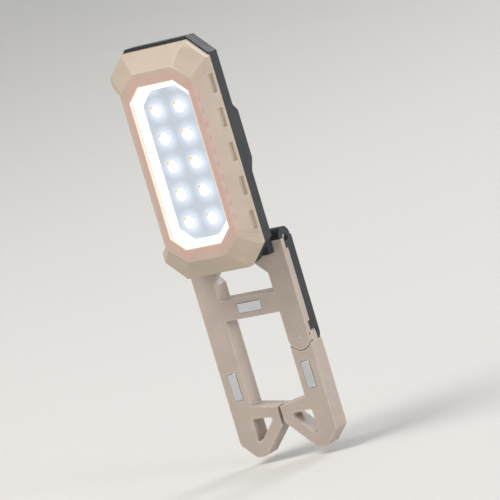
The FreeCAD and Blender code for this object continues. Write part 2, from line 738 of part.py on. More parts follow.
def make_light_pipe():
    start = f"{BOARD_BACK} + pipe_gap"
    stem = rod(head_place("0", start, "pipe_z"), "pipe_r", f"hump_depth - ({start})", "y")
    collar = rod(head_place("0", "hump_depth - cover_wall - slack - collar", "pipe_z"), "collar_r",
                 "collar", "y")
    return combine("Fuse", "light_pipe", stem, collar)


def make_usb():
    shell = box(head_place("-usb_half_w", "usb_low_y", "usb_mouth"),
                ("2 * usb_half_w", "usb_high_y - usb_low_y", "usb_length"))
    hollow = box(head_place("-usb_half_w + usb_wall", "usb_low_y + usb_wall", "usb_mouth - over"),
                 ("2 * (usb_half_w - usb_wall)", "usb_high_y - usb_low_y - 2 * usb_wall",
                  "usb_length - usb_back + over"))
    tongue = box(head_place("-tongue_half_w", "(usb_low_y + usb_high_y - tongue_thick) / 2",
                            "usb_mouth + tongue_in"),
                 ("2 * tongue_half_w", "tongue_thick", "usb_length - tongue_in"))
    socket = combine("Fuse", "usb_socket", combine("Cut", "usb_can", shell, hollow), tongue)
    board = box(head_place("-usb_board_half_w", "usb_low_y - pcb", "usb_mouth + usb_board_in"),
                ("2 * usb_board_half_w", "pcb", "usb_board_l"))
    board.Label = "usb_board"
    return socket, board


def make_port_cover():
    """A rubber flap that turns on the rounded bead along its front edge."""
    bead = rod(head_place("-flap_half_w", "flap_low_y + flap_thick / 2", "flap_out + flap_thick / 2"),
               "flap_thick / 2", "2 * flap_half_w", "x")
    flap = box(head_place("-flap_half_w", "flap_low_y + flap_thick / 2", "flap_out"),
               ("2 * flap_half_w", "flap_high_y - flap_low_y - flap_thick / 2", "flap_thick"))
    lip = box(head_place("-lip_half_w", "flap_high_y - lip_in - lip_thick", "flap_out - lip_out"),
              ("2 * lip_half_w", "lip_thick", "lip_out + slack"))
    return combine("Fuse", "port_cover", bead, flap, lip)


# ---- Handle -------------------------------------------------------------------------------------

UPPER_OPENING = [("-arm_inner", "bar_half"), ("arm_inner", "bar_half"),
                 ("arm_inner", "bridge_low - bridge_cut"), ("arm_inner - bridge_cut", "bridge_low"),
                 ("-arm_inner + bridge_cut", "bridge_low"), ("-arm_inner", "bridge_low - bridge_cut")]
HOLE = [("hole_tip_x", "hole_tip_z"), ("hole_side_x", "hole_top_z"), ("hole_side_x", "hole_low_z")]
EAR_SLOT = rectangle("ear_inner - ear_gap", "ear_outer + ear_gap", "hinge_z - ear_r - ear_room",
                     "hinge_z + handle_half_t + over")
GATE_PIN = [("pin_x", "pin_z")]
THROUGH_HANDLE = "2 * (handle_half_t + over)"
TIE_PLACES = [(f"{side} * tie_x", up) for side in (1, -1) for up in ("tie_high", "tie_low")]


def rear_opening(grow="0"):
    """The upper opening behind the plate, where its top is flared, grown by a wall's thickness."""
    across, flare = f"arm_inner + {grow}", f"flare_x + {grow}"
    side = [(across, f"bar_half - ({grow})"), (across, f"flare_low - ({grow}) / 2"),
            (flare, f"flare_high - ({grow}) / 2"), (flare, f"bridge_low + {grow}")]
    return side + list(reversed(mirrored(side)))


def lower_rim(wall, inside, end):
    """The wall along the crossbar's foot and down both arms, as a U turned over."""
    inner, low = f"arm_inner - {inside}", f"-bar_half - {inside}"
    outer, high = f"arm_inner + {wall}", f"-bar_half + {wall}"
    return [(f"-({outer})", end), (f"-({inner})", end), (f"-({inner})", low), (inner, low),
            (inner, "rim_end"), (outer, "rim_end"), (outer, high), (f"-({outer})", high)]


def outer_walls(grow="0"):
    """The frame's outer walls behind the plate, on the fixed arm and the gate's arm, grown by a fit."""
    inner, outer, top = f"side_x - {grow}", f"handle_half_w + {grow}", f"side_high + {grow}"
    fixed = rectangle(f"-({outer})", f"-({inner})", f"yoke_low - sink - {grow}", top)
    return fixed, rectangle(inner, outer, f"rim_end - {grow}", top)


def fixed_hook(tip):
    """The fixed arm's lower end and its hook, whose tip reaches to the given place."""
    rise = "(hook_root - hook_top) / arm_inner"
    fall = "(foot_z - notch_top) / foot_inner"
    return [("-arm_inner", "hook_root"), (tip, f"hook_top - {rise} * ({tip})"),
            (tip, f"notch_top - {fall} * ({tip})"), ("-foot_inner", "foot_z"), ("-foot_outer", "foot_z"),
            ("-handle_half_w", "foot_side")]


def magnet_pocket(body, across, up, length, width):
    outline = rectangle(f"{across} - {width} / 2 - magnet_gap", f"{across} + {width} / 2 + magnet_gap",
                        f"{up} - {length} / 2 - magnet_gap", f"{up} + {length} / 2 + magnet_gap")
    pocket(polygon(body, outline, "handle_half_t - magnet_t + magnet_proud"), "magnet_t + over")


def round_hole(body, side):
    corners = [(side * dim("hole_tip_x"), dim("hole_tip_z")), (side * dim("hole_side_x"), dim("hole_top_z")),
               (side * dim("hole_side_x"), dim("hole_low_z"))]
    round_edges(body, corners, "hole_round")


def make_handle_frame():
    body = new_body("handle_frame", HANDLE)
    outline = ([("-handle_half_w", "hinge_z"), ("handle_half_w", "hinge_z"), ("handle_half_w", "pin_z"),
                ("arm_inner", "pin_z"), ("arm_inner", "-bar_half"), ("-arm_inner", "-bar_half")]
               + fixed_hook("lap_fixed"))
    pad(polygon(body, outline, "handle_half_t - plate"), "plate")
    pad(circles(body, GATE_PIN, "cheek_r", "handle_half_t - plate"), "plate")
    arm = [("-handle_half_w", "yoke_low"), ("-arm_inner", "yoke_low")]
    pad(polygon(body, arm + fixed_hook("lap_fixed"), "0"), "handle_half_t - plate")
    hook = fixed_hook("lap_fixed")
    tongue = hook[:2] + [("lap_tongue", "hook_top - slack"), ("lap_tongue", "notch_top + slack")] + hook[2:]
    pad(polygon(body, arm + tongue, "0"), "handle_half_t", backward=True)
    for rim in (rear_opening("rim"), lower_rim("rim", "0", "yoke_low - sink")):
        pad(polygon(body, rim, "handle_half_t - plate"), "2 * handle_half_t - plate", backward=True)
    for wall in outer_walls():
        pad(polygon(body, wall, "handle_half_t - plate"), "side_deep", backward=True)
    through_plate = ("handle_half_t - plate - over", "plate + 2 * over")
    for opening in (EAR_SLOT, mirrored(EAR_SLOT)):
        pocket(polygon(body, opening, through_plate[0]), through_plate[1])
    pocket(polygon(body, UPPER_OPENING, "-handle_half_t - over"), THROUGH_HANDLE)
    pocket(polygon(body, rear_opening(), "handle_half_t - plate"), THROUGH_HANDLE, backward=True)
    pocket(polygon(body, mirrored(HOLE), "-handle_half_t - over"), THROUGH_HANDLE)
    magnet_pocket(body, "0", "0", "magnet_w", "magnet_l")
    magnet_pocket(body, "-magnet_x", "magnet_z", "magnet_l", "magnet_w")
    pocket(circles(body, GATE_PIN, "pin_r + press"), "handle_half_t + over")
    pocket(circles(body, TIE_PLACES, "tie_r + press", through_plate[0]),
           "tie_tip - handle_half_t + plate + over + slack")
    side_hole = circles(body, [("side_hole_y", "side_hole_z")], "side_hole_r",
                        "handle_half_w - side_hole_deep", "YZ_Plane")
    pocket(side_hole, "side_hole_deep + over")
    round_hole(body, -1)
    round_edges(body, [(-dim("foot_inner"), dim("foot_z")), (-dim("foot_outer"), dim("foot_z")),
                       (-dim("handle_half_w"), dim("foot_side"))], "foot_round")
    return body


def make_hinge_yoke():
    body = new_body("hinge_yoke", HANDLE)
    outline = [("-handle_half_w", "hinge_z"), ("handle_half_w", "hinge_z"), ("handle_half_w", "pin_z"),
               ("arm_inner", "pin_z"), ("arm_inner", "-bar_half"), ("-arm_inner", "-bar_half"),
               ("-arm_inner", "yoke_low"), ("-handle_half_w", "yoke_low")]
    face = "handle_half_t - plate"
    pad(polygon(body, outline, face), "2 * handle_half_t - plate", backward=True)
    axis = [("0", "hinge_z")]
    pad(circles(body, axis, "handle_half_t", "-handle_half_w + barrel_inset", "YZ_Plane"),
        "2 * (handle_half_w - barrel_inset)")
    pad(circles(body, GATE_PIN, "cheek_r", "-slot_half"), "handle_half_t - slot_half", backward=True)
    pocket(circles(body, GATE_PIN, "seat_r", "-slot_half"), "2 * slot_half + over")
    rims = (rear_opening("rim + fit"), lower_rim("rim + fit", "over", "yoke_low - over"))
    for opening in (*rims, EAR_SLOT, mirrored(EAR_SLOT)):
        pocket(polygon(body, opening, "-handle_half_t - over"), THROUGH_HANDLE)
    for wall in outer_walls("fit"):
        pocket(polygon(body, wall, f"{face} + over"), "side_deep + fit + over", backward=True)
    # The front plate lies in front of the barrel's lower half
    shelf = rectangle("-handle_half_w - over", "handle_half_w + over", "bridge_low - over", "hinge_z")
    pocket(polygon(body, shelf, face), "plate + over")
    pocket(circles(body, axis, "hinge_pin_r + press", "-handle_half_w - over", "YZ_Plane"),
           "2 * (handle_half_w + over)")
    pocket(circles(body, GATE_PIN, "pin_r + press", "-slot_half + over"), "handle_half_t + over",
           backward=True)
    pocket(circles(body, TIE_PLACES, "tie_r + slack", f"{face} + over"), THROUGH_HANDLE, backward=True)
    pocket(circles(body, TIE_PLACES, "tie_head_r + slack", "-handle_half_t - over"),
           "tie_head + tie_sink + over")
    return body


def row_place(across, back, up):
    return (across, back, up)


def make_tie_screws():
    seat = "handle_half_t - tie_head - tie_sink"
    blanks = []
    for across, up in TIE_PLACES:
        shank = rod((across, "-tie_tip", up), "tie_r", f"{seat} + tie_tip", "y")
        head = rod((across, seat, up), "tie_head_r", "tie_head", "y")
        blanks.append((shank, head, (across, up), row_place))
    return make_screws("handle_screws", blanks, seat, "tie_head", "tie_drive_half_w", "tie_drive_reach")


def make_magnet(label, across, up, length, width):
    magnet = box((f"{across} - {width} / 2", "-handle_half_t - magnet_proud", f"{up} - {length} / 2"),
                 (width, "magnet_t", length))
    magnet.Label = label
    doc.recompute()
    return magnet


def make_pins():
    hinge_pin = rod(("-hinge_reach", "0", "hinge_z"), "hinge_pin_r", "2 * hinge_reach", "x")
    hinge_pin.Label = "hinge_pin"
    gate_pin = rod(("pin_x", "-pin_reach", "pin_z"), "pin_r", "2 * pin_reach", "y")
    gate_pin.Label = "gate_pin"
    return hinge_pin, gate_pin


def make_washers():
    washers = []
    for low in ("ear_inner - ear_gap", "ear_outer"):
        for side in (1, -1):
            start = f"{low} + (ear_gap - washer_thick) / 2"
            if side < 0:
                start = f"-({low}) - (ear_gap + washer_thick) / 2"
            disc = rod((start, "0", "hinge_z"), "washer_r", "washer_thick", "x")
            bore = rod((f"{start} - over", "0", "hinge_z"), "hinge_pin_r + fit",
                       "washer_thick + 2 * over", "x")
            washers.append(combine("Cut", "washer", disc, bore))
    return combine("Compound", "hinge_washers", *washers)


# ---- Gate ---------------------------------------------------------------------------------------

def make_gate():
    body = new_body("gate", HANDLE)
    outline = [("handle_half_w", "horn_z"), ("arm_inner", "horn_z"), ("arm_inner", "hook_root"),
               ("lap_nose", "hook_top"), ("lap_nose", "notch_top"), ("foot_inner", "foot_z"),
               ("foot_outer", "foot_z"), ("handle_half_w", "foot_side")]
    pad(polygon(body, outline, "-handle_half_t"), "2 * handle_half_t")
    pocket(circles(body, GATE_PIN, "seat_r", "-handle_half_t - over"), THROUGH_HANDLE)
    nose = rectangle("lap_nose - over", "lap_back", "foot_z", "hook_root")
    pocket(polygon(body, nose, "lap_gap"), "handle_half_t + over", backward=True)
    pocket(polygon(body, HOLE, "-handle_half_t - over"), THROUGH_HANDLE)
    round_hole(body, 1)
    round_edges(body, [(dim("foot_inner"), dim("foot_z")), (dim("foot_outer"), dim("foot_z")),
                       (dim("handle_half_w"), dim("foot_side"))], "foot_round")
    neck = rectangle("pin_x - tongue_r", "pin_x + tongue_r", "neck_z", "pin_z")
    pad(polygon(body, neck, "-tongue_half"), "2 * tongue_half")
    pad(circles(body, GATE_PIN, "tongue_r", "-tongue_half"), "2 * tongue_half")
    pocket(circles(body, GATE_PIN, "pin_r + fit", "-handle_half_t"), "2 * handle_half_t")
    pocket(circles(body, GATE_PIN, "spring_room_r", "tongue_half - spring_room"), "spring_room + over")
    magnet_pocket(body, "magnet_x", "magnet_z", "magnet_l", "magnet_w")
    return body


SPRING_TURNS = 3


def make_gate_spring():
    """A torsion spring: three close turns round the pin."""
    turns = []
    for turn in range(SPRING_TURNS):
        ring = doc.addObject("Part::Torus", "turn")
        ring.Placement = FreeCAD.Placement(FreeCAD.Vector(), FreeCAD.Rotation(FreeCAD.Vector(1, 0, 0), -90))
        bind(ring, "Radius1", "spring_r")
        bind(ring, "Radius2", "spring_wire")
        bind(ring, "Placement.Base.x", "pin_x")
        bind(ring, "Placement.Base.y", f"-tongue_half + spring_wire + fit + {turn} * spring_pitch")
        bind(ring, "Placement.Base.z", "pin_z")
        turns.append(ring)
    return combine("Fuse", "gate_spring", *turns)


# ---- The assembly -------------------------------------------------------------------------------

def make_everything():
    parts = [
        make_front_shell(),
        make_lens(),
        make_ring("lens_gasket", window("flange - fit"), window("slack"), "lens_step",
                  "face_depth - shell_wall - lens_step"),
        make_reflector(),
        make_plate("led_board", window("-board_inset"), "board_face - board_thick", "board_thick"),
        *make_leds(),
        make_back_cover(),
        make_ring("case_seal", cover_outline("seal_inner"), cover_outline("seal_inner + seal_width"),
                  "-seal_depth", "seal_depth"),
        make_case_screws(),
        *make_battery(),
        make_control_board(),
        *make_switch(),
        make_power_button(),
        make_light_pipe(),
        *make_usb(),
        make_port_cover(),
        make_handle_frame(),
        make_hinge_yoke(),
        make_tie_screws(),
        make_magnet("crossbar_magnet", "0", "0", "magnet_w", "magnet_l"),
        make_magnet("left_arm_magnet", "-magnet_x", "magnet_z", "magnet_l", "magnet_w"),
        *make_pins(),
        make_washers(),
        make_gate(),
        make_magnet("gate_magnet", "magnet_x", "magnet_z", "magnet_l", "magnet_w"),
        make_gate_spring(),
    ]
    return parts


def check(parts):
    """Stops on any object that failed to compute and any shape that isn't a sound solid."""
    for thing in doc.Objects:
        faults = [word for word in thing.State if word in ("Invalid", "Error")]
        if faults:
            raise RuntimeError(f"{thing.Label} is {faults}")
    for part in parts:
        if part.Shape.isNull() or not part.Shape.isValid() or not part.Shape.Solids:
            raise RuntimeError(f"{part.Label} has no valid solid")


def export(parts):
    os.makedirs("parts", exist_ok=True)
    for part in parts:
        part.Shape.exportStep(f"parts/{part.Label}.step")
        size = part.Shape.BoundBox
        print(f"{part.Label}: {len(part.Shape.Solids)} solid(s), {part.Shape.Volume:.1f} mm3, "
              f"x {size.XMin:.1f} {size.XMax:.1f}, y {size.YMin:.1f} {size.YMax:.1f}, "
              f"z {size.ZMin:.1f} {size.ZMax:.1f}")


parts = make_everything()
doc.recompute()
check(parts)
export(parts)
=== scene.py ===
"""The looks of a folding work light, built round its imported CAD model.

The frame is in metres: +Z runs up the light, -Y is the way it shines, the origin is the middle of
the handle's crossbar. The object's own sizes are written in millimetres and multiplied by MM.
"""
import math

import bmesh
import bpy
from mathutils import Matrix, Vector
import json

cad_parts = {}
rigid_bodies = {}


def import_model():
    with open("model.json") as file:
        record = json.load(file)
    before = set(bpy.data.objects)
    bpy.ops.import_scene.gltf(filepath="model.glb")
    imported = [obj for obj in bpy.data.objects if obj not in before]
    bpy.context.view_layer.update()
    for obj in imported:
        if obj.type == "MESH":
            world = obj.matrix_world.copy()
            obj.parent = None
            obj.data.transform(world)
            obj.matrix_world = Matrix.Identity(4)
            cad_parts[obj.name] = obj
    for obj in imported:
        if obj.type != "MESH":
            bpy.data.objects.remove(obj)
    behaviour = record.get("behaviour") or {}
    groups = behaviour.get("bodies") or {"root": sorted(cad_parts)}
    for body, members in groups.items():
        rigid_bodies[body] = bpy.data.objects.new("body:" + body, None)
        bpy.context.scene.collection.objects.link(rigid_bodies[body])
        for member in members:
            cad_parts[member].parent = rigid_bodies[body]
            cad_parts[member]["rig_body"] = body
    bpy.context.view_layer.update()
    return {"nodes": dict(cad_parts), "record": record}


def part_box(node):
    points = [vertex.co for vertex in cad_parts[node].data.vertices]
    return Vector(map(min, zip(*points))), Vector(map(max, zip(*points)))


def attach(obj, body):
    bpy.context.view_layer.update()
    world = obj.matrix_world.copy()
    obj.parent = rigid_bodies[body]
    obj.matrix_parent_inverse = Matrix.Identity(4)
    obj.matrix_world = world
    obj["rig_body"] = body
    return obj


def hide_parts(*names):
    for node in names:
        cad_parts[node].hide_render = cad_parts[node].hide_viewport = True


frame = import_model()

MM = 0.001

# ---- Places taken from the frame, and the stage's ----------------------------------------------

LENS_FLANGE = 1.2 * MM
LENS_LOW, LENS_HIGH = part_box("lens")
WINDOW_MIDDLE = (LENS_LOW + LENS_HIGH) / 2
WINDOW_HALF_W = (LENS_HIGH.x - LENS_LOW.x) / 2 - LENS_FLANGE
WINDOW_HALF_L = (LENS_HIGH.z - LENS_LOW.z) / 2 - LENS_FLANGE
WINDOW_CUT_X = 5.6 * MM
WINDOW_CUT_Z = 5.4 * MM

LED_LOW, LED_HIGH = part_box("led_packages")
LED_SIZE = 5.0 * MM
LED_ROWS = 5
LED_COLUMN = (LED_HIGH.x - LED_LOW.x - LED_SIZE) / 2
LED_PITCH = (LED_HIGH.z - LED_LOW.z - LED_SIZE) / (LED_ROWS - 1)
LED_MIDDLE_Z = (LED_LOW.z + LED_HIGH.z) / 2

FLOOR_Z = -63.8 * MM     # just under the lowest point that the folded head reaches
FLOOR_RADIUS = 2.6       # the stage's own sizes are in metres
CORNER_RADIUS = 1.2
WALL_TOP = 3.0
GLOW_TOP = 0.5
WALL_GLOW = 0.45

# ---- Node trees ---------------------------------------------------------------------------------

BEVEL_SAMPLES = 6
# The edges that LEAST_TURN and FULL_TURN mark are lightened, partly for rubbing and partly as a painted
# highlight.
LEAST_TURN = 0.002       # 1 - cosine of the turn where rubbing starts to show, and where it is full
FULL_TURN = 0.035


class Tree:
    """A material's node tree, with short calls for the nodes used here."""

    def __init__(self, name):
        self.material = bpy.data.materials.new(name)
        self.material.use_nodes = True
        self.nodes = self.material.node_tree.nodes
        self.links = self.material.node_tree.links
        self.shader = self.nodes["Principled BSDF"]
        self.place = self.add("ShaderNodeTexCoord").outputs["Object"]

    def add(self, kind, **settings):
        """A new node with its settings."""
        node = self.nodes.new(kind)
        for field, value in settings.items():
            setattr(node, field, value)
        return node

    def feed(self, socket, value):
        """Links the value if it is a socket, otherwise sets it."""
        if isinstance(value, bpy.types.NodeSocket):
            self.links.new(value, socket)
        else:
            socket.default_value = value

    def math(self, operation, first, second=0.0, third=0.0):
        node = self.add("ShaderNodeMath", operation=operation)
        for socket, value in zip(node.inputs, (first, second, third)):
            self.feed(socket, value)
        return node.outputs[0]

    def noise(self, size, detail=2.0, stretch=(1, 1, 1), roughness=0.5):
        """Noise whose features are about `size` metres across, stretched along each axis."""
        mapping = self.add("ShaderNodeMapping")
        self.feed(mapping.inputs["Vector"], self.place)
        mapping.inputs["Scale"].default_value = [1 / factor for factor in stretch]
        texture = self.add("ShaderNodeTexNoise")
        self.feed(texture.inputs["Vector"], mapping.outputs[0])
        texture.inputs["Scale"].default_value = 1 / size
        texture.inputs["Detail"].default_value = detail
        texture.inputs["Roughness"].default_value = roughness
        return texture.outputs["Fac"]

    def fade(self, value, start, end, low=0.0, high=1.0):
        """Maps value smoothly from start..end to low..high, clamped."""
        node = self.add("ShaderNodeMapRange", interpolation_type="SMOOTHSTEP")
        for socket, number in zip(node.inputs[:5], (value, start, end, low, high)):
            self.feed(socket, number)
        return node.outputs[0]

    def blend(self, factor, first, second):
        """The first colour at factor 0, the second at 1."""
        node = self.add("ShaderNodeMix", data_type="RGBA")
        self.feed(node.inputs["Factor"], factor)
        self.feed(node.inputs["A"], first)
        self.feed(node.inputs["B"], second)
        return node.outputs["Result"]

    def bump(self, height, distance, normal=None, strength=1.0):
        """The normal of a surface raised by height times distance, on top of another normal if given."""
        node = self.add("ShaderNodeBump")
        self.feed(node.inputs["Height"], height)
        node.inputs["Distance"].default_value = distance
        node.inputs["Strength"].default_value = strength
        if normal is not None:
            self.feed(node.inputs["Normal"], normal)
        return node.outputs[0]

    def edges(self, radius):
        """1 on edges and in corners, 0 on flat faces, by how far the surface turns within the radius."""
        bevel = self.add("ShaderNodeBevel", samples=BEVEL_SAMPLES)
        bevel.inputs["Radius"].default_value = radius
        geometry = self.add("ShaderNodeNewGeometry")
        product = self.add("ShaderNodeVectorMath", operation="DOT_PRODUCT")
        self.feed(product.inputs[0], bevel.outputs[0])
        self.feed(product.inputs[1], geometry.outputs["True Normal"])
        return self.fade(self.math("SUBTRACT", 1.0, product.outputs["Value"]), LEAST_TURN, FULL_TURN)

    def axes(self):
        """The surface point's X, Y and Z in the frame."""
        node = self.add("ShaderNodeSeparateXYZ")
        self.feed(node.inputs[0], self.place)
        return node.outputs

    def set(self, **values):
        """Sets or links the shader's inputs: base_color=..., roughness=... and so on."""
        for name, value in values.items():
            self.feed(self.shader.inputs[name.replace("_", " ").title().replace("Ior", "IOR")], value)


def tint(red, green, blue):
    """A linear colour from the usual 0..255 screen values."""
    def linear(value):
        share = value / 255
        return share / 12.92 if share <= 0.04045 else ((share + 0.055) / 1.055) ** 2.4
    return (linear(red), linear(green), linear(blue), 1.0)


def shade(colour, factor):
    """The colour made darker or lighter."""
    return tuple(channel * factor for channel in colour[:3]) + (1.0,)


# ---- Colours and measures of the looks ------------------------------------------------------------

SAND = tint(187, 171, 153)
HANDLE_SAND = tint(181, 167, 156)
PINK = tint(194, 158, 152)
CREAM = tint(214, 203, 184)
CHARCOAL = tint(46, 48, 52)
WHITE = tint(240, 242, 244)
BOARD = tint(170, 176, 183)
BOARD_LIGHT = tint(232, 240, 250)
FLOOR = tint(212, 211, 208)

CLOUDY = (0.3, 0.7)      # the middle of a noise's range, where nearly all of it lies

# Shadows of the ribs inside the shell, at these distances from the window's long sides.
RIB_PITCH = 5.4 * MM
RIB_NEAR = 2.6 * MM
RIB_FAR = 3.5 * MM
RIB_BLUR = 0.6 * MM
RIB_SHADOW = 0.4

# The lamp's light in the shell round the window, painted on: full, then fading to nothing, with a bright
# rim.
GLOW_FULL = 1.5 * MM
GLOW_REACH = 6.0 * MM
GLOW_STRENGTH = 0.05
RIM_WIDTH = 0.5 * MM
RIM_STRENGTH = 0.34
# How much the painted glow tints the shell's own colour pink.
PAINTED_GLOW_TINT = 0.5

# ---- Materials ----------------------------------------------------------------------------------


def plastic_tree(name, colour, roughness, grain=0.22 * MM, grain_depth=0.012 * MM, wear_and_highlight=0.25):
    """Moulded plastic: spark-eroded grain, faint flow marks, hand gloss, and lighter edges from rubbing and
    a painted highlight.
    """
    tree = Tree(name)
    clouds = tree.noise(9 * MM, detail=3.0)
    specks = tree.noise(0.5 * MM, detail=1.0)
    base = tree.blend(tree.fade(clouds, 0.35, 0.65), shade(colour, 0.96), shade(colour, 1.03))
    base = tree.blend(tree.fade(specks, 0.62, 0.75, 0.0, 0.06), base, shade(colour, 0.6))
    patches = tree.fade(tree.noise(2.5 * MM), 0.35, 0.7, 0.25, 1.0)
    worn_and_highlit_edges = tree.math("MULTIPLY", tree.edges(1.0 * MM), patches)
    # Lighter edges: part rubbing, part painted highlight along the ridges.
    base = tree.blend(tree.math("MULTIPLY", worn_and_highlit_edges, wear_and_highlight), base, shade(colour, 1.45))
    gloss = tree.fade(tree.noise(6 * MM, detail=4.0), *CLOUDY, roughness - 0.07, roughness + 0.07)
    gloss = tree.math("SUBTRACT", gloss, tree.math("MULTIPLY", worn_and_highlit_edges, 0.12))
    flow = tree.bump(tree.noise(5 * MM, detail=2.0, stretch=(1, 1, 4)), 0.03 * MM)
    normal = tree.bump(tree.noise(grain, detail=3.0, roughness=0.6), grain_depth, flow)
    tree.set(base_color=base, roughness=gloss, normal=normal, specular_ior_level=0.45)
    return tree, base


def window_distance(tree):
    """Distance outside the head's eight-sided window, past its long sides and past its ends, in metres."""
    x, _, z = tree.axes()
    across = tree.math("ABSOLUTE", tree.math("SUBTRACT", x, WINDOW_MIDDLE.x))
    along = tree.math("ABSOLUTE", tree.math("SUBTRACT", z, WINDOW_MIDDLE.z))
    side = tree.math("SUBTRACT", across, WINDOW_HALF_W)
    end = tree.math("SUBTRACT", along, WINDOW_HALF_L)
    slope = math.hypot(WINDOW_CUT_X, WINDOW_CUT_Z)
    normal_x, normal_z = WINDOW_CUT_Z / slope, WINDOW_CUT_X / slope
    reach = WINDOW_HALF_W * normal_x + (WINDOW_HALF_L - WINDOW_CUT_Z) * normal_z
    corner = tree.math("MULTIPLY_ADD", across, normal_x, tree.math("MULTIPLY", along, normal_z))
    corner = tree.math("SUBTRACT", corner, reach)
    return tree.math("MAXIMUM", tree.math("MAXIMUM", side, end), corner), side, end


def shell_plastic():
    """The head's sand plastic, with the lamp's light that leaks through it round the window painted on as
    glow and colour.
    """
    tree, base = plastic_tree("shell_sand", SAND, 0.42)
    distance, side, end = window_distance(tree)
    _, _, z = tree.axes()
    ribs = tree.fade(tree.math("SINE", tree.math("MULTIPLY", z, 2 * math.pi / RIB_PITCH)), 0.0, 0.5)
    band = tree.math("MULTIPLY", tree.fade(side, RIB_NEAR, RIB_NEAR + RIB_BLUR),
                     tree.fade(side, RIB_FAR, RIB_FAR + RIB_BLUR, 1.0, 0.0))
    shadows = tree.math("MULTIPLY", tree.math("MULTIPLY", ribs, band),
                        tree.fade(end, -2 * WINDOW_CUT_Z, -WINDOW_CUT_Z, RIB_SHADOW, 0.0))
    base = tree.blend(shadows, base, shade(PINK, 0.62))
    # Painted light: the leaking glow tints the base colour pink, and the rim cream, and adds emission.
    leak = tree.fade(distance, GLOW_FULL, GLOW_REACH, 1.0, 0.0)
    rim = tree.fade(distance, 0.0, RIM_WIDTH, 1.0, 0.0)
    strength = tree.math("MULTIPLY_ADD", leak, GLOW_STRENGTH, tree.math("MULTIPLY", rim, RIM_STRENGTH))
    painted_glow_tint = tree.math("MULTIPLY", tree.math("SUBTRACT", leak, rim), PAINTED_GLOW_TINT)
    tree.set(base_color=tree.blend(rim, tree.blend(painted_glow_tint, base, PINK), CREAM),
             emission_color=tree.blend(rim, tint(255, 140, 132), tint(255, 246, 226)),
             emission_strength=strength)
    return tree.material


def led_halo(tree, near, far):
    """1 close to a light source and 0 far from it, on the plane of the board."""
    x, _, z = tree.axes()
    column = tree.math("SUBTRACT", tree.math("ABSOLUTE", x), LED_COLUMN)
    offset = tree.math("SUBTRACT", z, LED_MIDDLE_Z - LED_PITCH * (LED_ROWS + 1) / 2)
    row = tree.math("SUBTRACT", tree.math("WRAP", offset, LED_PITCH * 1.5, LED_PITCH / 2), LED_PITCH)
    square = tree.math("MULTIPLY_ADD", column, column, tree.math("MULTIPLY", row, row))
    return tree.fade(tree.math("SQRT", square), near, far, 1.0, 0.0)


def lit_surface(name, colour, light, dim, bright, reach):
    """A white part next to the light sources, with their light painted on as a glow that is brighter
    towards each of them.
    """
    tree = Tree(name)
    halo = led_halo(tree, 2.0 * MM, reach)
    grain = tree.noise(1.5 * MM, detail=3.0)
    # The emission is painted light: the part itself is no lamp.
    tree.set(base_color=tree.blend(tree.fade(grain, *CLOUDY), shade(colour, 0.92), colour),
             roughness=tree.fade(grain, *CLOUDY, 0.35, 0.5),
             emission_color=light,
             emission_strength=tree.math("MULTIPLY_ADD", halo, bright - dim, dim),
             normal=tree.bump(grain, 0.01 * MM))
    return tree.material


def phosphor():
    """The lit bowl of a light source, softer towards its rim."""
    tree = Tree("led_phosphor")
    halo = led_halo(tree, 1.2 * MM, 2.5 * MM)
    tree.set(base_color=tint(250, 225, 150), roughness=0.5, emission_color=tint(255, 252, 248),
             emission_strength=tree.math("MULTIPLY_ADD", halo, 2.4, 0.9))
    return tree.material


def corner_mark():
    """The printed corner of a light source, with a warm glow painted on as if lit from inside."""
    tree = Tree("led_mark")
    grain = tree.noise(0.4 * MM, detail=2.0)
    # The warm emission is painted light.
    tree.set(base_color=tree.blend(grain, tint(240, 190, 110), tint(255, 214, 140)), roughness=0.5,
             emission_color=tint(255, 196, 116), emission_strength=0.55)
    return tree.material


def clear_lens():
    """Clear plastic with a little haze."""
    tree = Tree("lens_clear")
    haze = tree.noise(7 * MM, detail=3.0)
    tree.set(base_color=tint(250, 252, 255), roughness=tree.fade(haze, *CLOUDY, 0.01, 0.05),
             transmission_weight=1.0, ior=1.49)
    return tree.material


def metal(name, colour, roughness, scratch=0.25, stretch=(8, 1, 1)):
    """Plated steel with fine scratches and a faint cloudiness."""
    tree = Tree(name)
    lines = tree.noise(0.12 * MM, detail=2.0, stretch=stretch)
    clouds = tree.noise(3 * MM, detail=3.0)
    tree.set(base_color=tree.blend(tree.fade(clouds, *CLOUDY), shade(colour, 0.94), colour), metallic=1.0,
             roughness=tree.fade(tree.math("MULTIPLY_ADD", lines, scratch, clouds), 0.3, 0.95,
                                 roughness - 0.05, roughness + 0.08),
             normal=tree.bump(lines, 0.0015 * MM))
    return tree.material


def rubber(name, colour, roughness=0.62):
    """Soft rubber: dull, with a fine grain and a little dust."""
    tree = Tree(name)
    dust = tree.noise(1.2 * MM, detail=4.0)
    tree.set(base_color=tree.blend(tree.fade(dust, 0.5, 0.8, 0.0, 0.35), colour, shade(colour, 2.2)),
             roughness=tree.fade(dust, *CLOUDY, roughness - 0.06, roughness + 0.1),
             normal=tree.bump(tree.noise(0.18 * MM, detail=2.0), 0.012 * MM),
             sheen_weight=0.15)
    return tree.material


def circuit_board():
    """Green solder mask with thin tracks under it."""
    tree = Tree("board_green")
    colour = tint(28, 84, 52)
    brick = tree.add("ShaderNodeTexBrick")
    tree.feed(brick.inputs["Vector"], tree.place)
    brick.inputs["Scale"].default_value = 1 / (1.6 * MM)
    brick.inputs["Mortar Size"].default_value = 0.03
    tracks = brick.outputs["Fac"]
    tree.set(base_color=tree.blend(tracks, colour, shade(colour, 1.8)), roughness=0.3,
             normal=tree.bump(tracks, 0.02 * MM))
    return tree.material


def crinkled_foil():
    """The battery pouch's foil, with soft folds."""
    tree = Tree("battery_foil")
    folds = tree.noise(2.5 * MM, detail=5.0, stretch=(1, 1, 2))
    tree.set(base_color=tint(190, 192, 196), metallic=0.9, roughness=tree.fade(folds, *CLOUDY, 0.25, 0.45),
             normal=tree.bump(folds, 0.15 * MM))
    return tree.material


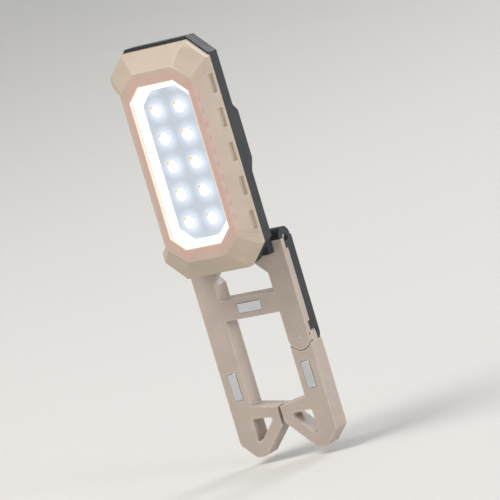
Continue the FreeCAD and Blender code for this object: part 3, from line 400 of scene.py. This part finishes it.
def foam():
    """Dark foam with small open cells."""
    tree = Tree("foam")
    cells = tree.add("ShaderNodeTexVoronoi")
    tree.feed(cells.inputs["Vector"], tree.place)
    cells.inputs["Scale"].default_value = 1 / (0.4 * MM)
    depth = cells.outputs["Distance"]
    # The open cells' hollows are made darker: painted shade.
    tree.set(base_color=tree.blend(depth, tint(40, 40, 42), tint(80, 80, 84)), roughness=0.95,
             normal=tree.bump(depth, 0.1 * MM))
    return tree.material


def painted_floor():
    """The stage's pale matt surface, lit a little from inside where its wall rises."""
    tree = Tree("stage_paint")
    clouds = tree.noise(0.25, detail=3.0)
    _, _, z = tree.axes()
    tree.set(base_color=tree.blend(clouds, FLOOR, shade(FLOOR, 1.03)), roughness=0.75,
             emission_color=FLOOR, emission_strength=tree.fade(z, FLOOR_Z, GLOW_TOP, 0.0, WALL_GLOW),
             normal=tree.bump(tree.noise(2 * MM, detail=2.0), 0.02 * MM, strength=0.3))
    return tree.material


MATERIALS = {
    "shell_sand": shell_plastic(),
    # The handle's edges are lightened most: rubbing with a painted ridge highlight.
    "handle_sand": plastic_tree("handle_sand", HANDLE_SAND, 0.42, wear_and_highlight=0.7)[0].material,
    "cover_charcoal": plastic_tree("cover_charcoal", CHARCOAL, 0.5, grain=0.3 * MM, grain_depth=0.02 * MM,
                                   wear_and_highlight=0.12)[0].material,
    "lens_clear": clear_lens(),
    "reflector_white": lit_surface("reflector_white", WHITE, tint(250, 252, 255), 0.6, 0.85, 9 * MM),
    "board_mask": lit_surface("board_mask", BOARD, BOARD_LIGHT, 0.42, 0.72, 6.5 * MM),
    "led_body": lit_surface("led_body", BOARD, BOARD_LIGHT, 0.42, 0.72, 6.5 * MM),
    "led_mark": corner_mark(),
    "led_phosphor": phosphor(),
    "seal_rubber": rubber("seal_rubber", tint(120, 115, 107)),
    "button_rubber": rubber("button_rubber", tint(52, 53, 55)),
    "symbol_print": rubber("symbol_print", tint(176, 176, 174), roughness=0.5),
    "foam": foam(),
    "battery_foil": crinkled_foil(),
    "board_green": circuit_board(),
    "switch_body": metal("switch_body", tint(196, 196, 198), 0.35),
    "socket_steel": metal("socket_steel", tint(206, 206, 208), 0.28),
    "screw_steel": metal("screw_steel", tint(150, 150, 152), 0.32, stretch=(1, 1, 1)),
    "pin_steel": metal("pin_steel", tint(196, 194, 190), 0.25),
    "magnet_nickel": metal("magnet_nickel", tint(206, 208, 212), 0.2, scratch=0.1, stretch=(1, 1, 8)),
}

# ---- Pieces -------------------------------------------------------------------------------------

WELD = 0.002 * MM
FLAT = math.radians(0.6)
SHARP = math.radians(24)
EDGE_SEGMENTS = 3
NARROW_STEPS = {"back_cover"}   # nodes with a step so near an edge that wide faces are split first
FACE_WEIGHT = 60


def link(name, data):
    """An object that shows the data, in the scene."""
    piece = bpy.data.objects.new(name, data)
    bpy.context.scene.collection.objects.link(piece)
    return piece


def soft_edges(bm, width):
    """Rounds every edge of the mesh that turns by more than SHARP."""
    edges = [edge for edge in bm.edges
             if len(edge.link_faces) == 2 and edge.calc_face_angle(0.0) > SHARP]
    bmesh.ops.bevel(bm, geom=edges, offset=width, segments=EDGE_SEGMENTS, profile=0.5,
                    affect="EDGES", clamp_overlap=True)


def skin(node, slot, width):
    """A copy of a CAD node with rounded edges, shown in its place."""
    bm = bmesh.new()
    bm.from_mesh(frame["nodes"][node].data)
    bmesh.ops.remove_doubles(bm, verts=bm.verts, dist=WELD)
    bmesh.ops.dissolve_limit(bm, angle_limit=FLAT, verts=bm.verts, edges=bm.edges)
    if node in NARROW_STEPS:
        bmesh.ops.connect_verts_concave(bm, faces=bm.faces)
    soft_edges(bm, width)
    mesh = bpy.data.meshes.new(node + "_skin")
    bm.to_mesh(mesh)
    bm.free()
    mesh.shade_smooth()
    mesh.materials.append(MATERIALS[slot])
    piece = link(node + "_skin", mesh)
    normals = piece.modifiers.new("flat_faces", "WEIGHTED_NORMAL")
    normals.weight = FACE_WEIGHT
    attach(piece, frame["nodes"][node]["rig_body"])
    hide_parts(node)


# Each rounded node: its slot, and the width of its rounded edges in millimetres.
SKINS = {
    "front_shell": ("shell_sand", 0.5),
    "back_cover": ("cover_charcoal", 0.4),
    "handle_frame": ("handle_sand", 0.6),
    "hinge_yoke": ("cover_charcoal", 0.45),
    "gate": ("handle_sand", 0.6),
    "power_button": ("button_rubber", 0.3),
    "port_cover": ("button_rubber", 0.3),
    "lens": ("lens_clear", 0.25),
    "lens_gasket": ("seal_rubber", 0.1),
    "reflector": ("reflector_white", 0.15),
    "led_packages": ("led_body", 0.12),
    "crossbar_magnet": ("magnet_nickel", 0.15),
    "left_arm_magnet": ("magnet_nickel", 0.15),
    "gate_magnet": ("magnet_nickel", 0.15),
    "case_screws": ("screw_steel", 0.08),
    "handle_screws": ("screw_steel", 0.08),
    "hinge_pin": ("pin_steel", 0.2),
    "gate_pin": ("pin_steel", 0.2),
}

DOME_RADIUS = 2.1 * MM
DOME_HEIGHT = 0.8 * MM
DOME_RINGS = 6
DOME_TURNS = 32
MARK_OUT = 1.75 * MM
MARK_RADIUS = 0.7 * MM
MARK_THICK = 0.06 * MM


def led_places():
    """The middle of every light source's front."""
    middle_row = (LED_ROWS - 1) / 2
    return [Vector((side * LED_COLUMN, LED_LOW.y, LED_MIDDLE_Z + (row - middle_row) * LED_PITCH))
            for row in range(LED_ROWS) for side in (-1, 1)]


def build(name, slot, node, make):
    """A piece whose mesh `make` fills, riding on the node's body."""
    bm = bmesh.new()
    make(bm)
    mesh = bpy.data.meshes.new(name)
    bm.to_mesh(mesh)
    bm.free()
    mesh.materials.append(MATERIALS[slot])
    piece = link(name, mesh)
    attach(piece, frame["nodes"][node]["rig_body"])
    return piece


def fill_domes(bm):
    """A soft round cap of silicone on every light source."""
    turns = [2 * math.pi * j / DOME_TURNS for j in range(DOME_TURNS)]
    for place in led_places():
        rings = []
        for ring in range(DOME_RINGS):
            angle = ring / DOME_RINGS * math.pi / 2
            radius, height = DOME_RADIUS * math.cos(angle), DOME_HEIGHT * math.sin(angle)
            circle = [Vector((radius * math.cos(turn), -height, radius * math.sin(turn))) for turn in turns]
            rings.append([bm.verts.new(place + point) for point in circle])
        top = bm.verts.new(place - Vector((0, DOME_HEIGHT, 0)))
        for low, high in zip(rings, rings[1:]):
            for j in range(DOME_TURNS):
                k = (j + 1) % DOME_TURNS
                bm.faces.new((low[j], low[k], high[k], high[j]))
        for j in range(DOME_TURNS):
            bm.faces.new((rings[-1][j], rings[-1][(j + 1) % DOME_TURNS], top))
        bm.faces.new(reversed(rings[0]))


def fill_marks(bm):
    """A small bevelled chip in one corner of every light source."""
    for place in led_places():
        middle = place + Vector((-MARK_OUT, -MARK_THICK / 2, MARK_OUT))
        turn = Matrix.Translation(middle) @ Matrix.Rotation(math.pi / 2, 4, "X")
        bmesh.ops.create_cone(bm, cap_ends=True, segments=12, radius1=MARK_RADIUS,
                              radius2=MARK_RADIUS * 0.9, depth=MARK_THICK, matrix=turn)


SYMBOL_RADIUS = 1.9 * MM
SYMBOL_LINE = 0.22 * MM
SYMBOL_GAP = math.radians(38)
STROKE_SHARES = (0.25, 0.7, 1.15)    # along the stroke, as shares of the ring's radius


def power_symbol():
    """A raised ring with a gap at its top, and a stroke in the gap, on the power button."""
    low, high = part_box("power_button")
    middle = Vector(((low.x + high.x) / 2, high.y, (low.z + high.z) / 2))
    curve = bpy.data.curves.new("power_symbol", "CURVE")
    curve.dimensions = "3D"
    curve.bevel_depth = SYMBOL_LINE
    curve.bevel_resolution = 4
    curve.use_fill_caps = True
    arc_steps = 48
    span = 2 * math.pi - 2 * SYMBOL_GAP
    turns = [math.pi / 2 + SYMBOL_GAP + span * i / arc_steps for i in range(arc_steps + 1)]
    arc = [Vector((SYMBOL_RADIUS * math.cos(turn), 0, SYMBOL_RADIUS * math.sin(turn))) for turn in turns]
    stroke = [Vector((0, 0, SYMBOL_RADIUS * share)) for share in STROKE_SHARES]
    for points in (arc, stroke):
        spline = curve.splines.new("POLY")
        spline.points.add(len(points) - 1)
        for point, place in zip(spline.points, points):
            point.co = (*(middle + place), 1.0)
    curve.materials.append(MATERIALS["symbol_print"])
    piece = link("power_symbol", curve)
    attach(piece, frame["nodes"]["power_button"]["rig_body"])


def add_details():
    """The small pieces that the CAD model leaves out."""
    domes = build("led_domes", "led_phosphor", "led_phosphors", fill_domes)
    domes.data.shade_smooth()
    marks = build("led_marks", "led_mark", "led_packages", fill_marks)
    power_symbol()


def dress_frame():
    """Gives every CAD node its procedural material."""
    slots = {part["node"]: part["material_slot"] for part in frame["record"]["subparts"]}
    for name, node in frame["nodes"].items():
        node.data.materials.clear()
        node.data.materials.append(MATERIALS[slots[name]])


# ---- Camera, stage and light --------------------------------------------------------------------

CAMERA_AZIMUTH = math.radians(33.76)
CAMERA_ELEVATION = math.radians(8.05)
CAMERA_ROLL = math.radians(16.6)
CAMERA_DISTANCE = 1.953
CAMERA_LENS = 360.0
CAMERA_REACH = 20
AIM = Vector((12.9, -11.7, 23.4)) * MM


def make_camera():
    """A long lens that looks down on the light from its front right, rolled so that it leans."""
    azimuth, elevation = CAMERA_AZIMUTH, CAMERA_ELEVATION
    back = Vector((math.cos(elevation) * math.sin(azimuth), -math.cos(elevation) * math.cos(azimuth),
                   math.sin(elevation)))
    level = Vector((math.cos(azimuth), math.sin(azimuth), 0))
    upright = back.cross(level)
    right = math.cos(CAMERA_ROLL) * level - math.sin(CAMERA_ROLL) * upright
    up = math.sin(CAMERA_ROLL) * level + math.cos(CAMERA_ROLL) * upright
    data = bpy.data.cameras.new("camera")
    data.lens = CAMERA_LENS
    data.clip_end = CAMERA_REACH
    camera = link("camera", data)
    turn = Matrix((right, up, back)).transposed().to_4x4()
    camera.matrix_world = Matrix.Translation(AIM + CAMERA_DISTANCE * back) @ turn
    bpy.context.scene.camera = camera


def make_stage():
    """A pale round floor that curves up into a wall on all sides."""
    turns = 96
    arc_steps = 16
    profile = [(0.02, 0.0), (0.3, 0.0), (FLOOR_RADIUS, 0.0)]     # radius, height over the floor
    for i in range(1, arc_steps + 1):
        angle = i / arc_steps * math.pi / 2
        profile.append((FLOOR_RADIUS + CORNER_RADIUS * math.sin(angle),
                        CORNER_RADIUS * (1 - math.cos(angle))))
    profile.append((FLOOR_RADIUS + CORNER_RADIUS, WALL_TOP))
    verts = [Vector((0, 0, FLOOR_Z))]
    for radius, height in profile:
        for j in range(turns):
            angle = 2 * math.pi * j / turns
            verts.append(Vector((radius * math.cos(angle), radius * math.sin(angle), FLOOR_Z + height)))
    faces = [(0, 1 + j, 1 + (j + 1) % turns) for j in range(turns)]
    for ring in range(len(profile) - 1):
        low, high = 1 + ring * turns, 1 + (ring + 1) * turns
        for j in range(turns):
            k = (j + 1) % turns
            faces.append((low + j, high + j, high + k, low + k))
    mesh = bpy.data.meshes.new("stage")
    mesh.from_pydata(verts, [], faces)
    mesh.shade_smooth()
    mesh.materials.append(painted_floor())
    link("stage", mesh)


def area_light(name, place, size, power, colour):
    """A soft round lamp that faces the light and isn't seen itself."""
    data = bpy.data.lights.new(name, "AREA")
    data.shape = "DISK"
    data.size = size
    data.energy = power
    data.color = colour[:3]
    lamp = link(name, data)
    lamp.location = place
    lamp.rotation_euler = (AIM - Vector(place)).to_track_quat("-Z", "Y").to_euler()
    lamp.visible_camera = False


def make_light():
    """Soft studio light: a key, a fill and a rim lamp under a dim sky."""
    area_light("key", (-0.7, -0.9, 1.9), size=1.2, power=33, colour=tint(255, 250, 244))
    area_light("fill", (2.2, -0.5, 0.35), size=0.7, power=20, colour=tint(246, 248, 255))
    area_light("rim", (0.6, 1.7, 1.3), size=0.9, power=14, colour=tint(250, 250, 255))
    world = bpy.data.worlds.new("studio")
    world.use_nodes = True
    sky = world.node_tree.nodes["Background"]
    sky.inputs["Color"].default_value = tint(235, 240, 246)
    sky.inputs["Strength"].default_value = 0.42
    scene = bpy.context.scene
    scene.world = world
    scene.view_settings.view_transform = "Standard"
    scene.cycles.use_denoising = True


make_camera()
make_stage()
make_light()
dress_frame()
for node_name, (slot_name, edge_width) in SKINS.items():
    skin(node_name, slot_name, edge_width * MM)
add_details()
